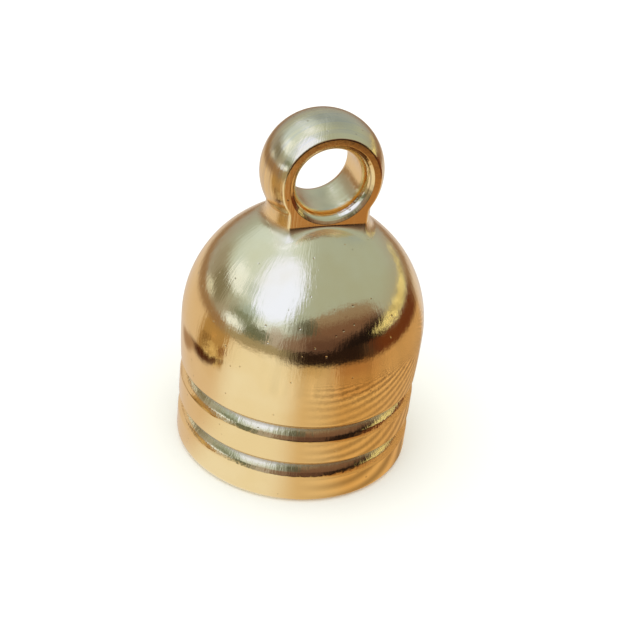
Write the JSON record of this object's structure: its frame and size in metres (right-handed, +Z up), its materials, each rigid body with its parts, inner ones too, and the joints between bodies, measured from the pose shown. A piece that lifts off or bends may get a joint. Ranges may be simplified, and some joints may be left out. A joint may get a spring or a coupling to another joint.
{
  "type": "tassel cap",
  "caption": "Domed metal bell cap with grooved bands, hollow and open at the bottom, with a short thick eye on top for a ring or hook.",
  "frame": {"origin": "centre of the bottom rim's plane", "axes": "+Z up along the cap's axis, +Y along the axis of the hole in the eye"},
  "size_m": [0.011, 0.011, 0.0166],
  "materials": {
    "cap": "polished gold plating"
  },
  "bodies": {
    "root": {"cap": "cap"}
  },
  "joints": []
}
